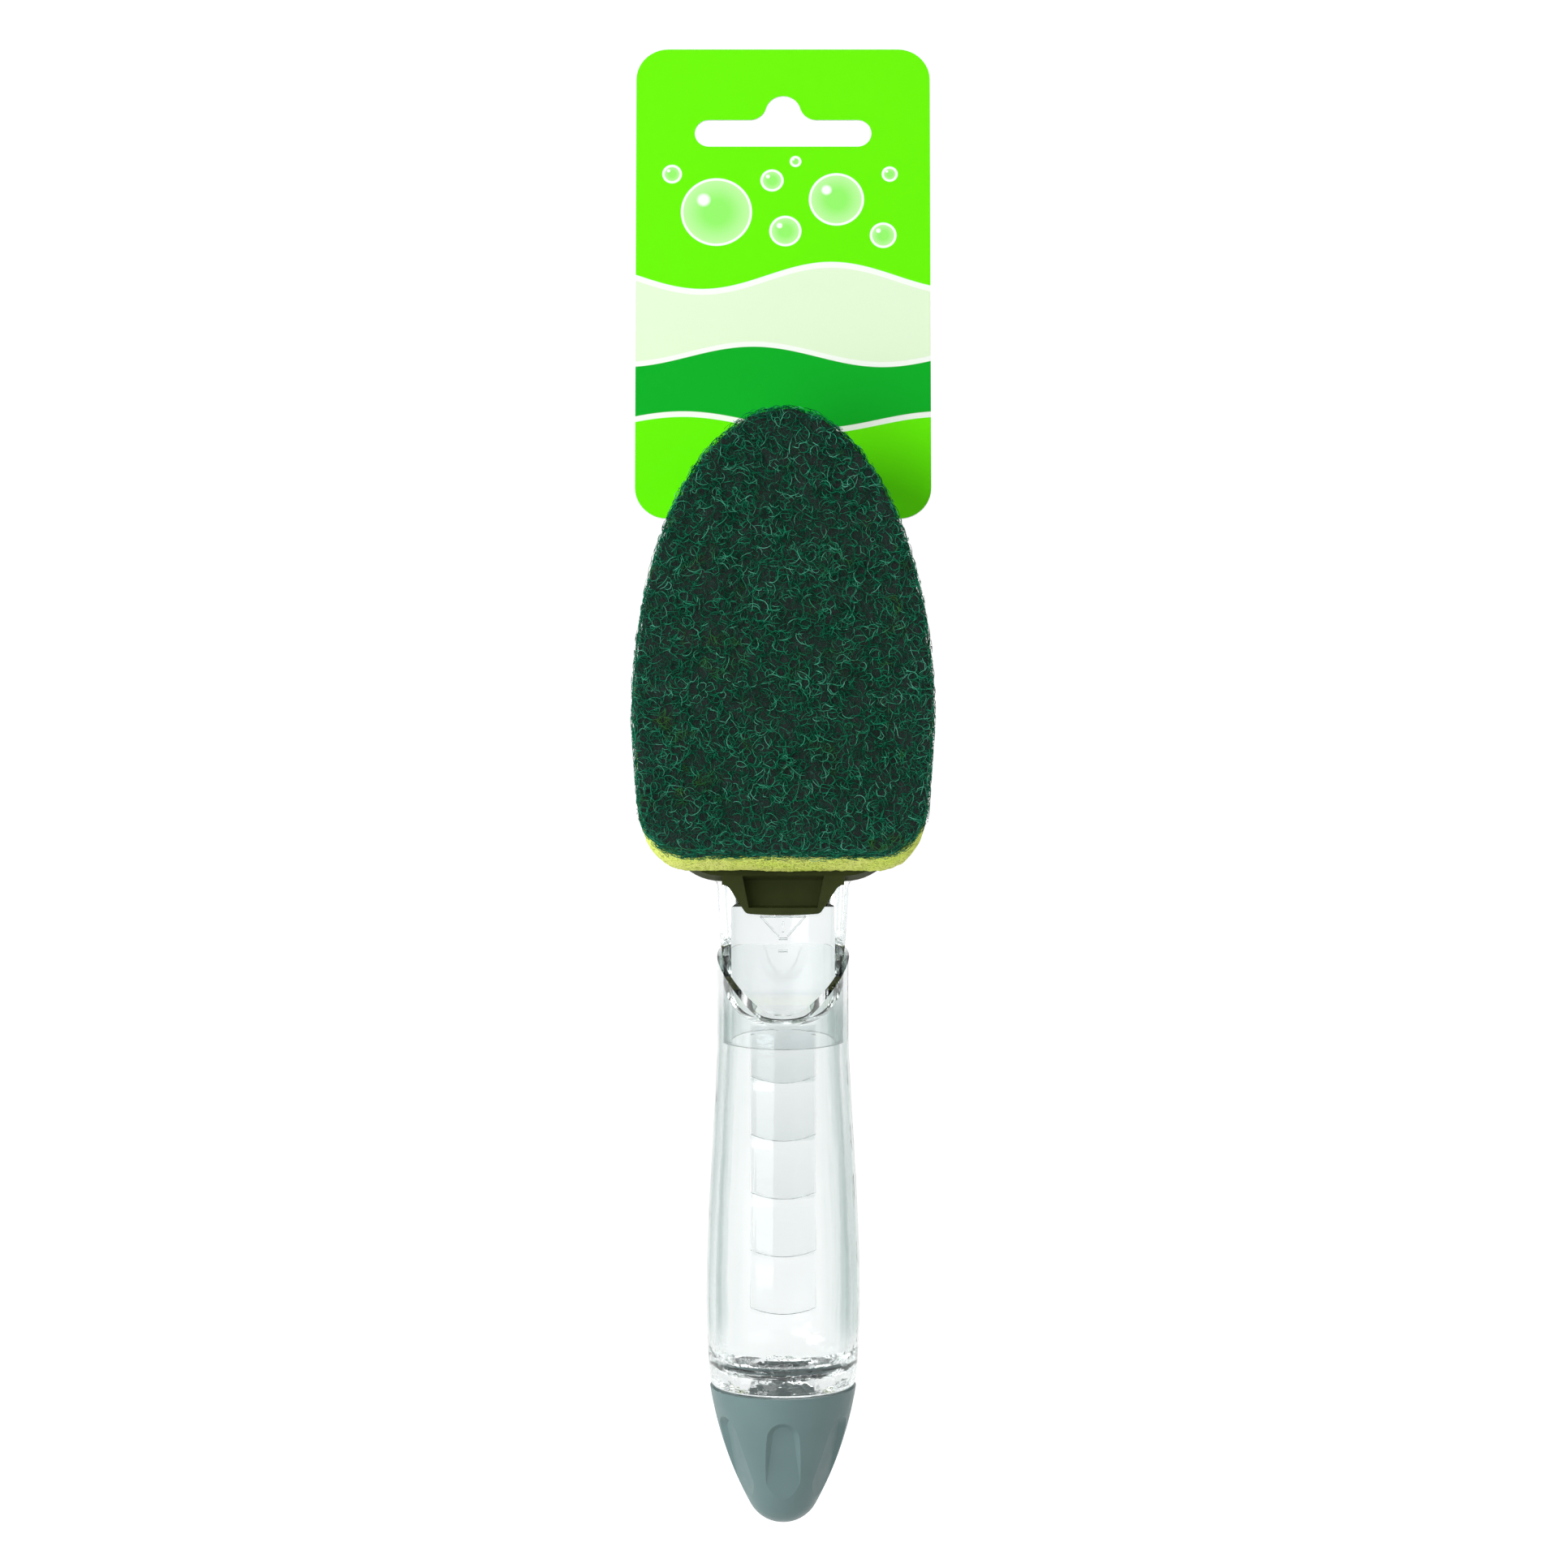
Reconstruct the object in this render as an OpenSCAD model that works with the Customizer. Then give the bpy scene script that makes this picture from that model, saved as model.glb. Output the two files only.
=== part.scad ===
// Dish wand: a clear handle that holds washing-up soap, a screw cap at its foot,
// and a slide-on scouring head that hangs from its display card.
// Lengths are millimetres. The handle's axis is parallel to Z, with the head up.
// The scouring face looks towards -Y and leans back towards its toe.
// The origin is the centre of the round top of the card's hang hole.

/* [Handle body] */
// Height of the handle body from its foot to the top of its domed rim
body_l = 97.8; // [92:0.1:120]
// Radius at the widest part of the grip
belly_r = 17.1; // [16.2:0.05:19]
// Height of the widest part above the cap's rim
belly_z = 19.5; // [12:0.5:30]
// Radius of the slim part below the neck
waist_r = 14.6; // [14.2:0.05:15.6]
// Height at which the handle starts to swell towards the belly
waist_z = 76.5; // [60:0.5:78]
// Radius at the foot, inside the cap's rim
foot_r = 15.65; // [14:0.05:16.2]
// Wall of the handle body
wall = 2; // [1.6:0.05:3]
// Wall left outside the socket that takes the neck
rim_wall = 1.25; // [1:0.05:1.5]
// Radius of the domed rim, seen from the side
rim_arc_r = 22.9; // [22:0.1:26]
// Distance that the dome's highest point lies behind the axis
rim_back = 7; // [5:0.1:7.2]
// Depth of the neck's spigot below the front of the rim
spigot_l = 4.5; // [4:0.5:10]
// Gap between the neck's ring and the domed rim, which leaves the spigot's end to seat in its socket
rim_gap = 0.15; // [0.05:0.05:0.3]
// Height of the reservoir's floor at the filler hole
floor_h = 3.4; // [2:0.1:6]
// Height at which the dished floor meets the wall
dish_z = 10; // [8:0.5:12]

/* [Filler neck and cap] */
// Radius of the filler hole
filler_r = 7.6; // [6:0.1:8]
// Wall of the threaded filler neck
filler_wall = 2.2; // [1.6:0.1:2.4]
// Length of the filler neck below the cap's rim
filler_l = 10; // [8:0.1:11]
// Height of the smooth collar at the neck's root
collar_h = 1.4; // [0.8:0.1:2.5]
// Space for the screw thread between the filler neck and the collar's radius
thread_h = 0.95; // [0.6:0.05:1.1]
// Radial clearance between the collar and the cap
collar_fit = 0.08; // [0.05:0.01:0.1]
// Gap between the cap's rim and the foot of the handle
foot_gap = 0.4; // [0.3:0.05:1]
// Radius of the cap's rim
cap_r = 16.25; // [16:0.05:18]
// Length of the cap from its rim to its tip
cap_l = 31.2; // [29:0.1:38]
// Radius of the cap's rounded tip
cap_tip_r = 8.3; // [7:0.1:9]
// Inward lean of the cap's side at its rim, in degrees
cap_lean = 8.8; // [6:0.1:10]
// Thickness of the sealing washer
gasket_h = 1.2; // [0.8:0.1:2]
// Radial gap between the sealing washer and the cap
gasket_gap = 0.3; // [0.1:0.05:0.5]
// Radius of the hollow in the cap's nose
nose_r = 6; // [4:0.1:6.5]
// Depth of the hollow in the cap's nose below the washer
nose_l = 10; // [7:0.5:11]
// Depth of the ring-shaped relief in the cap's rim
relief_l = 4; // [2:0.1:4.4]
// Width of the ring-shaped relief
relief_w = 2; // [1:0.1:2.4]

/* [Cap flutes] */
// Number of arched flutes round the cap
flute_count = 6; // [4:1:8]
// Half width of a flute at the surface
flute_half_w = 4.2; // [2.5:0.1:4.4]
// Slope of a flute's walls, as width over depth
flute_slope = 1.35; // [1:0.05:2]
// Distance from the cap's rim to the middle of a flute's arch
flute_top = 9.2; // [8.5:0.1:12]
// Distance from the cap's rim to the foot of a flute
flute_foot = 24.4; // [20:0.1:25]
// Angle between a flute's floor and the cap's side, in degrees
flute_dip = 5; // [2:0.1:5.5]

/* [Finger grip] */
// Number of shingle-like finger steps down the front
grip_count = 5; // [3:1:5]
// Distance from one finger step to the next
grip_pitch = 12.9; // [12:0.1:13]
// Width of a finger step
grip_w = 14.3; // [10:0.1:16]
// Depth of a finger step at its lower edge
grip_depth = 0.8; // [0.4:0.05:0.9]
// Height of a finger step
grip_h = 11.8; // [8:0.1:11.9]
// Drop of a step's lower edge from its corners to its middle
grip_sag = 1.2; // [0.6:0.1:2]
// Height of the lowest step's lower edge
grip_z = 19.5; // [17:0.5:20]

/* [Neck] */
// Distance from the top of the rim to the point where the head's plane crosses the axis
neck_l = 15.6; // [14:0.1:24]
// Radius of the neck where it leaves the handle
neck_r = 13.75; // [13.7:0.05:14]
// Radius of the neck where it meets the head
neck_top_r = 14.6; // [14.1:0.05:15]
// Lean of the neck's front face from upright, in degrees
face_lean = 12; // [9:0.5:15]
// Radius of the thumb scoop at the foot of the neck's front face
scoop_r = 14; // [12:0.5:15]
// Wall of the hollow neck
neck_wall = 1.8; // [1.4:0.1:2.4]
// Radial clearance between the spigot and its socket
spigot_fit = 0.05; // [0.02:0.01:0.1]

/* [Paddle] */
// Lean of the head back from the handle's axis, in degrees
head_tilt = 25; // [20:1:30]
// Half width of the paddle and radius of its round toe
paddle_r = 17; // [16:0.1:18]
// Length of the paddle from the head's heel to its toe
paddle_l = 74; // [70:0.5:78]
// Distance from the heel over which the paddle widens from the neck
paddle_heel = 9; // [4:0.5:12]
// Thickness of the paddle's sliding edge
paddle_t = 2; // [1.5:0.1:2.5]
// Radius of the half-round housing of the soap duct, along the paddle's back
duct_outer_r = 7.4; // [7.2:0.1:8.5]
// Radius of the soap duct
duct_r = 2.4; // [1.5:0.1:2.6]
// Distance of the duct's axis behind the paddle's front face
duct_depth = 3.8; // [3.6:0.05:4.2]
// Distance from the head's heel to the soap valve
valve_s = 46; // [42:0.5:50]

/* [Soap valve] */
// Radius of the valve's pocket in the paddle
pocket_r = 6.1; // [5.6:0.05:6.4]
// Depth of the valve's pocket
pocket_depth = 2.6; // [2.4:0.05:2.8]
// Radius of the hole from the pocket to the duct
throat_r = 3.5; // [2.8:0.1:3.8]
// Thickness of the rubber valve's flange
valve_t = 1.2; // [1:0.1:1.3]
// Thickness of the valve's domed lip
lip_t = 0.6; // [0.4:0.05:0.9]
// Rise of the valve's domed lip above its flange
lip_rise = 0.9; // [0.5:0.05:1]
// Width of the cross-shaped slit
slit_w = 0.15; // [0.1:0.01:0.3]
// Thickness of the ring that holds the valve
retainer_t = 1; // [0.7:0.1:1.1]
// Radial gap round the valve and its ring
pocket_gap = 0.05; // [0.03:0.01:0.2]

/* [Refill base] */
// Half width of the base tray at its widest
tray_half_w = 27; // [25.5:0.5:29]
// Length of the base tray
tray_l = 93; // [90:0.5:96]
// Depth of the base tray from its back to the sponge
tray_h = 4.6; // [4:0.1:7]
// Thickness of the tray's floor
tray_floor = 1.4; // [1:0.1:2]
// Wall of the tray's skirt and of the thumb tab
tray_wall = 1.3; // [1:0.05:1.6]
// Radius of the tray's heel corners
tray_corner_r = 12; // [7:0.5:13]
// Number of ribs across the tray
rib_count = 6; // [3:1:9]
// Thickness of the ribs under the sponge
rib_t = 1.2; // [0.8:0.1:2]
// Radius of the soap port through the base
port_r = 4.4; // [3:0.1:4.8]
// Clearance between the paddle's edge and its channel
slide_fit = 0.15; // [0.1:0.01:0.3]
// Wall of the U-shaped channel that holds the paddle
channel_wall = 1.7; // [1.2:0.1:2.4]
// Thickness of the lip that wraps behind the paddle's edge
channel_lip_t = 1.5; // [1:0.1:2]
// Reach of the lip behind the paddle's edge
channel_lip_w = 2.7; // [1.5:0.1:3.2]
// Distance from the heel to the channel's mouth
channel_s = 16; // [12:0.5:24]

/* [Thumb tab] */
// Half width of the tab where it leaves the base
tab_top_half_w = 12.2; // [11:0.1:14]
// Half width of the tab at its lower edge
tab_foot_half_w = 8.9; // [7.5:0.1:10.5]
// Half width of the tab's recess where it meets the base
tab_recess_half_w = 9.6; // [8.5:0.1:9.8]
// Height of the tab below the head's heel
tab_h = 6.2; // [5:0.1:8]
// Distance of the tab's lower rim in front of the handle's axis
tab_front = 6.9; // [6.4:0.1:8.5]
// Radius of the tab's lower corners
tab_corner_r = 1.6; // [1:0.1:2]
// Radius of the fillets between the tab and the base
tab_fillet_r = 2.2; // [1:0.1:3]
// Bow of the tab's lower edge
tab_bow = 0.3; // [0.1:0.05:0.8]

/* [Sponge and scouring pad] */
// Half width of the scouring pad at its widest
pad_half_w = 33; // [31:0.5:38]
// Length of the scouring pad
pad_l = 102; // [98:0.5:112]
// Distance from the heel to the widest part of the pad, sponge and base
pad_wide_s = 31; // [26:0.5:36]
// Radius of the pad's heel corners
pad_corner_r = 11.3; // [9:0.1:14]
// Narrowing of the half width from the widest part to the heel corners
heel_in = 1.4; // [0.5:0.1:2]
// Thickness of the scouring pad
pad_t = 7.5; // [5:0.1:10]
// Thickness of the sponge
sponge_t = 13.9; // [10:0.1:18]
// Distance that the sponge's back edge is drawn in from the pad's edge
sponge_draw = 0.9; // [0.3:0.1:4.5]

/* [Display card] */
// Width of the card
card_w = 66.2; // [58:0.1:80]
// Height of the card's broad part
card_h = 110.8; // [95:0.1:130]
// Thickness of the card
card_t = 0.5; // [0.4:0.05:0.6]
// Distance from the head's heel to the lower edge of the card's broad part
card_s = 83.9; // [80:0.1:88]
// Radius of the card's corners
card_corner_r = 7.2; // [3:0.1:10]
// Half width of the tongue held behind the base
tongue_half_w = 12.5; // [9:0.1:13]
// Distance from the head's heel to the end of the tongue
tongue_s = 22; // [20:0.5:32]
// Radius of the tongue's corners
tongue_corner_r = 4; // [2:0.5:6]
// Gap that the tongue leaves in its slit and before the paddle
card_gap = 0.15; // [0.1:0.01:0.3]
// Length of the hang slot
slot_l = 39.8; // [30:0.1:45]
// Height of the hang slot
slot_h = 6.3; // [5.8:0.1:8]
// Distance from the card's top edge to the middle of the hang slot
slot_drop = 20; // [18:0.1:24]
// Radius of the round top of the hang hole
hang_r = 4; // [3:0.1:5]
// Height of the round top's centre above the slot's upper edge
hang_rise = 1.7; // [1:0.1:3]
// Radius of the flared corners below the round top
hang_flare_r = 3.8; // [3:0.1:5]

/* [Hidden] */
$fn = 96;
// Longer than any cut needs to be
far = 60;
// Overlap that fuses two solids of one piece, or carries a cut past a face
eps = 0.1;

// Handle body
foot_z = foot_gap;
rim_z = foot_z + body_l;
rim_cz = rim_z - rim_arc_r;
socket_r = waist_r - rim_wall;
socket_z = rim_height(-waist_r) - spigot_l;
filler_outer_r = filler_r + filler_wall;
collar_r = filler_outer_r + thread_h;

// Cap: its side is an arc that leans in at the rim and runs into the tip's sphere
cap_bore_r = collar_r + collar_fit;
cap_floor_z = -filler_l - gasket_h;
tip_cz = cap_tip_r - cap_l;
side_r = (cap_r * cap_r + tip_cz * tip_cz - cap_tip_r * cap_tip_r)
    / (2 * (cap_r * cos(cap_lean) + tip_cz * sin(cap_lean) - cap_tip_r));
side_cx = cap_r - side_r * cos(cap_lean);
side_cz = side_r * sin(cap_lean);
tip_join_a = atan2(tip_cz - side_cz, -side_cx);
flute_top_a = asin((-flute_top - side_cz) / side_r);
flute_foot_a = asin((-flute_foot - side_cz) / side_r);
relief_r = cap_bore_r + (cap_r - cap_bore_r - relief_w) / 2;

// Head: its own frame has x across, y backwards from the base's back, and z from heel to toe
head_z = rim_z + neck_l;
paddle_y = card_t + 2 * card_gap;
paddle_back_y = paddle_y + paddle_t;
duct_y = paddle_y + duct_depth;
duct_back_y = paddle_y + duct_outer_r;
toe_s = paddle_l - paddle_r;
lip_y = paddle_back_y + slide_fit;
channel_y = lip_y + channel_lip_t;
pad_back = tray_h + sponge_t;
pad_front = pad_back + pad_t;

// Neck: the front face passes through the point where the paddle's front crosses the heel's height
neck_inner_r = socket_r - spigot_fit - neck_wall;
face_y = paddle_y / cos(head_tilt);
scoop_end = [-socket_r, rim_height(-neck_r) - eps];
face_down = [-sin(face_lean), -cos(face_lean)];
face_out = [-cos(face_lean), sin(face_lean)];
scoop_c = scoop_centre();
scoop_end_a = atan2(scoop_end[1] - scoop_c[1], scoop_end[0] - scoop_c[0]);
neck_top_s = neck_top_r / sin(head_tilt);

// Card
card_top_s = card_s + card_h;
slot_s = card_top_s - slot_drop;
slot_top_s = slot_s + slot_h / 2;
hang_s = slot_top_s + hang_rise;
hang_at = head_point(hang_s, -card_t / 2);
flare_x = sqrt(pow(hang_r + hang_flare_r, 2) - pow(hang_flare_r - hang_rise, 2));
flare_h = hang_rise + (hang_flare_r - hang_rise) * hang_r / (hang_r + hang_flare_r);

clear_colour = [0.86, 0.92, 0.91, 0.45];
slate_colour = [0.44, 0.49, 0.49];
olive_colour = [0.27, 0.29, 0.16];
sponge_colour = [0.80, 0.84, 0.31];
pad_colour = [0.02, 0.30, 0.24];
card_colour = [0.46, 0.98, 0.05];
silicone_colour = [0.92, 0.92, 0.90];
washer_colour = [0.80, 0.80, 0.78];

// Points of an arc round (cx, cy), from angle a0 to a1
function arc(cx, cy, r, a0, a1, n = 12) =
    [for (i = [0:n]) let (a = a0 + (a1 - a0) * i / n) [cx + r * cos(a), cy + r * sin(a)]];

// The (y, z) of a point of the head: s from heel to toe, t forwards from the base's back
function head_point(s, t) = [
    s * sin(head_tilt) - t * cos(head_tilt),
    head_z + s * cos(head_tilt) + t * sin(head_tilt)
];

// Height of the domed rim at a distance y behind the axis
function rim_height(y) = rim_cz + sqrt(rim_arc_r * rim_arc_r - (y - rim_back) * (y - rim_back));

// Outer radius of the handle body above the belly, at a height z
function body_r(z) =
    let (t = max(0, min(1, (waist_z - z) / (waist_z - belly_z))))
    waist_r + (belly_r - waist_r) * (t * t * (3 - 2 * t) + t * (2 - t)) / 2;

// Point (r, z) of the elliptical foot curve, from 90 degrees at the foot to 0 at the belly
function foot_point(a) =
    [belly_r - (belly_r - foot_r) * (1 - cos(a)), belly_z - (belly_z - foot_z) * sin(a)];

// Centre (y, z) of the scoop's arc, which touches the neck's face and ends at the socket's edge
function scoop_centre() =
    let (
        q = scoop_end - [face_y, head_z],
        out = q * face_out - scoop_r,
        down = q * face_down - sqrt(scoop_r * scoop_r - out * out)
    )
    [face_y, head_z] + face_down * down + face_out * scoop_r;

// Half outline (x, s) of an egg-shaped piece of the head, from its heel round to its toe's tip
function egg_half(half_w, toe, corner_r, heel) =
    let (corner_x = half_w - heel_in - corner_r)
    concat(
        arc(corner_x, heel + corner_r, corner_r, -90, -4),
        [for (i = [0:24]) [half_w * cos(90 * i / 24), pad_wide_s + (toe - pad_wide_s) * sin(90 * i / 24)]]
    );

// Whole egg outline, from its half and the half's mirror image
function both_sides(half) =
    concat(half, [for (i = [len(half) - 2:-1:0]) [-half[i][0], half[i][1]]]);

// Outline of the scouring pad, drawn in by inset
module pad_outline(inset = 0) {
    polygon(both_sides(egg_half(pad_half_w - inset, pad_l - inset, pad_corner_r - inset, inset)));
}

// Outline of the base tray, drawn in by inset
module tray_outline(inset = 0) {
    polygon(both_sides(egg_half(tray_half_w - inset, tray_l - inset, tray_corner_r - inset, inset)));
}

// Outline of the paddle's straight sides and round toe, grown by grow, from s0 up
module paddle_outline(grow, s0) {
    r = paddle_r + grow;
    translate([-r, s0]) square([2 * r, toe_s - s0]);
    translate([0, toe_s]) circle(r);
}

// Rectangle with round corners, centred across x
module rounded_rect(w, s0, s1, r) {
    translate([-w / 2 + r, s0]) square([w - 2 * r, s1 - s0]);
    translate([-w / 2, s0 + r]) square([w, s1 - s0 - 2 * r]);
    for (x = [-1, 1], s = [s0 + r, s1 - r]) translate([x * (w / 2 - r), s]) circle(r);
}

// Carries a module from the head's frame to the handle's
module on_head() {
    translate([0, 0, head_z]) rotate([-head_tilt, 0, 0]) children();
}

// Carries the whole from the handle's axis to the hang hole
module hung() {
    translate([0, -hang_at[0], -hang_at[1]]) children();
}

// Slab in the head's frame with a 2D outline (x, s), from t0 to t1 in front of the base's back
module head_slab(t0, t1) {
    translate([0, -t0, 0]) rotate([90, 0, 0]) linear_extrude(t1 - t0) children();
}

// Prism across the whole width with a 2D outline (y, z)
module side_prism() {
    rotate([90, 0, 90]) linear_extrude(2 * far, center = true) children();
}

// Places a module at the valve, with its local z forwards from the pocket's floor
module at_valve() {
    on_head() translate([0, paddle_y + pocket_depth, valve_s]) rotate([90, 0, 0]) children();
}

// Cylinder across the handle whose upper surface is the domed rim, grown by grow
module rim_dome(grow = 0) {
    translate([0, rim_back, rim_cz]) rotate([0, 90, 0])
        cylinder(h = 2 * far, r = rim_arc_r + grow, center = true, $fn = 128);
}

// Cut for one finger step: deepest at its bowed lower edge, running out at its top
module grip_step(z0) {
    r0 = body_r(z0) - grip_depth;
    r1 = body_r(z0 + grip_h) + eps / 2;
    slope = (r1 - r0) / grip_h;
    sag_r = (grip_w * grip_w / 4 + grip_sag * grip_sag) / (2 * grip_sag);
    sag_a = asin(grip_w / 2 / sag_r);
    difference() {
        rotate([90, 0, 0]) linear_extrude(belly_r + 1) polygon(concat(
            arc(0, z0 + sag_r, sag_r, -90 - sag_a, -90 + sag_a, 16),
            [[grip_w / 2, z0 + grip_h], [-grip_w / 2, z0 + grip_h]]
        ));
        translate([0, 0, z0 - 1]) cylinder(h = grip_h + 2, r1 = r0 - slope, r2 = r1 + slope);
    }
}

// Clear handle body with its dished floor, filler neck and domed mouth
module reservoir() {
    swell = [for (i = [0:20]) let (z = belly_z + (waist_z - belly_z) * i / 20) [body_r(z), z]];
    dish_a = asin((belly_z - dish_z) / (belly_z - foot_z));
    dish_in = foot_point(dish_a)[0] - wall - filler_r;
    dish_drop = dish_z - floor_h;
    outline = concat(
        [
            [filler_r, -filler_l], [filler_outer_r, -filler_l], [filler_outer_r, -collar_h],
            [collar_r, -collar_h], [collar_r, foot_z]
        ],
        [for (i = [0:15]) foot_point(90 - 6 * i)],
        [for (i = [1:20]) swell[i]],
        [
            [waist_r, rim_z + 1], [socket_r, rim_z + 1],
            [socket_r, socket_z], [waist_r - wall, socket_z]
        ],
        [for (i = [20:-1:0]) if (swell[i][1] < socket_z - 1) [swell[i][0] - wall, swell[i][1]]],
        [for (a = [0:6:90]) [filler_r + dish_in * cos(a), dish_z - dish_drop * sin(a)]]
    );
    color(clear_colour) hung() difference() {
        rotate_extrude() polygon(outline);
        difference() {
            translate([-far, -far, rim_cz]) cube(2 * far);
            rim_dome();
        }
        for (i = [0:grip_count - 1]) grip_step(grip_z + i * grip_pitch);
    }
}

// Side outline (y, z) of the neck: thumb scoop, front face, paddle's front and duct's back
module neck_side() {
    polygon(concat(
        [[-far, socket_z - 1], [-far, scoop_end[1]]],
        arc(scoop_c[0], scoop_c[1], scoop_r, scoop_end_a, -face_lean, 24),
        [
            head_point(paddle_y * tan(head_tilt), -paddle_y),
            head_point(neck_top_s, -paddle_y), head_point(neck_top_s, -duct_back_y),
            [far, head_point(neck_top_s, -duct_back_y)[1]], [far, socket_z - 1]
        ]
    ));
}

// Side outline (y, z) of the hollow in the neck, one wall behind the scoop and the face
module neck_hollow_side() {
    roof = head_z - 2 * neck_wall - duct_r;
    front = arc(scoop_c[0], scoop_c[1], scoop_r + neck_wall, scoop_end_a, -face_lean, 24);
    foot = front[24] - face_down * ((roof - front[24][1]) / cos(face_lean));
    polygon(concat(
        [[-far, socket_z - 1], [-far, front[0][1]]], front,
        [foot, [far, roof], [far, socket_z - 1]]
    ));
}

// Round parts of the neck: the spigot in its socket, and the neck that stands on the rim
module neck_round() {
    neck_h = 2 * neck_top_s;
    translate([0, 0, socket_z]) cylinder(h = head_z - socket_z, r = socket_r - spigot_fit);
    difference() {
        union() {
            translate([0, 0, rim_cz]) cylinder(h = rim_arc_r, r = neck_r);
            translate([0, 0, rim_z]) cylinder(h = neck_l, r1 = neck_r, r2 = neck_top_r);
            translate([0, 0, head_z]) cylinder(h = neck_h, r = neck_top_r);
        }
        rim_dome(rim_gap);
    }
}

// Clear neck and paddle: spigot, scooped neck, sliding edge, soap duct and valve pocket
module neck_paddle() {
    duct_end_s = valve_s + throat_r;
    color(clear_colour) hung() difference() {
        union() {
            intersection() {
                neck_round();
                side_prism() neck_side();
            }
            on_head() {
                head_slab(-paddle_back_y, -paddle_y) {
                    paddle_outline(0, paddle_heel);
                    polygon([
                        [-neck_top_r, 0], [neck_top_r, 0], [paddle_r, paddle_heel / 2],
                        [paddle_r, paddle_heel + eps], [-paddle_r, paddle_heel + eps],
                        [-paddle_r, paddle_heel / 2]
                    ]);
                }
                intersection() {
                    translate([0, paddle_y, 0]) union() {
                        cylinder(h = duct_end_s, r = duct_outer_r);
                        translate([0, 0, duct_end_s]) sphere(duct_outer_r);
                    }
                    translate([-far, paddle_y, 0]) cube(2 * far);
                }
            }
        }
        intersection() {
            translate([0, 0, socket_z - 1]) cylinder(h = head_z, r = neck_inner_r);
            side_prism() neck_hollow_side();
        }
        on_head() translate([0, duct_y, -3 * duct_r]) cylinder(h = duct_end_s + 3 * duct_r, r = duct_r, $fn = 48);
        at_valve() {
            cylinder(h = pocket_depth + 1, r = pocket_r);
            translate([0, 0, pocket_depth - duct_depth]) cylinder(h = duct_depth, r = throat_r, $fn = 48);
        }
    }
}

// Rubber valve: a flange and a domed lip with a cross-shaped slit
module slit_valve() {
    rise = [for (i = [0:8]) let (k = i / 8) [throat_r * k, lip_rise * (1 - k * k)]];
    color(silicone_colour) hung() at_valve() difference() {
        rotate_extrude() polygon(concat(
            [for (i = [0:8]) [rise[i][0], rise[i][1] + valve_t - lip_t]],
            [[throat_r, 0], [pocket_r - pocket_gap, 0], [pocket_r - pocket_gap, valve_t]],
            [for (i = [8:-1:0]) [rise[i][0], rise[i][1] + valve_t]]
        ));
        for (a = [0, 90]) rotate([0, 0, a])
            translate([-throat_r * 0.7, -slit_w / 2, 0]) cube([throat_r * 1.4, slit_w, pocket_depth]);
    }
}

// Ring that holds the valve in its pocket
module valve_retainer() {
    color(slate_colour) hung() at_valve() translate([0, 0, valve_t]) difference() {
        cylinder(h = retainer_t, r = pocket_r - pocket_gap);
        translate([0, 0, -eps]) cylinder(h = retainer_t + 2 * eps, r = throat_r + lip_t);
    }
}

// Cut for one arched flute: a V-shaped groove with a round top, over a flat floor that runs out at its foot
module flute() {
    top = [side_cx + side_r * cos(flute_top_a), side_cz + side_r * sin(flute_top_a)];
    foot = [side_cx + side_r * cos(flute_foot_a), side_cz + side_r * sin(flute_foot_a)];
    lean = atan2(top[0] - foot[0], top[1] - foot[1]);
    length = norm(top - foot);
    apex = flute_half_w / flute_slope;
    over_w = flute_half_w + flute_slope;
    translate([foot[0], 0, foot[1]]) rotate([0, lean, 0]) difference() {
        hull() for (z = [-length, length]) translate([-apex, 0, z]) rotate([0, 90, 0])
            cylinder(h = apex + 1, r1 = 0, r2 = over_w, $fn = 48);
        rotate([0, -flute_dip, 0]) translate([-far, -far, -far]) cube([far, 2 * far, 2 * far]);
    }
}

// Screw cap: bullet-shaped shell with flutes, a thread bore, a hollow nose and a relieved rim
module cap() {
    nose_z = cap_floor_z - nose_l;
    outline = concat(
        [
            [cap_bore_r, 0], [cap_bore_r, cap_floor_z], [nose_r, cap_floor_z],
            [nose_r - 1, nose_z + nose_r - 1]
        ],
        [for (a = [15:15:90]) [(nose_r - 1) * cos(a), nose_z + (nose_r - 1) * (1 - sin(a))]],
        [for (a = [-90:6:tip_join_a - 3]) [cap_tip_r * cos(a), tip_cz + cap_tip_r * sin(a)]],
        arc(side_cx, side_cz, side_r, tip_join_a, -cap_lean, 16),
        [
            [relief_r + relief_w, 0], [relief_r + relief_w - 0.4, -relief_l],
            [relief_r, -relief_l], [relief_r, 0]
        ]
    );
    color(slate_colour) hung() difference() {
        rotate_extrude() polygon(outline);
        for (i = [0:flute_count - 1]) rotate([0, 0, -90 + 360 * i / flute_count]) flute();
    }
}

// Washer that seals the filler neck's end against the cap
module cap_gasket() {
    color(washer_colour) hung() translate([0, 0, cap_floor_z]) difference() {
        cylinder(h = gasket_h, r = cap_bore_r - gasket_gap);
        translate([0, 0, -eps]) cylinder(h = gasket_h + 2 * eps, r = filler_r);
    }
}

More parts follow.
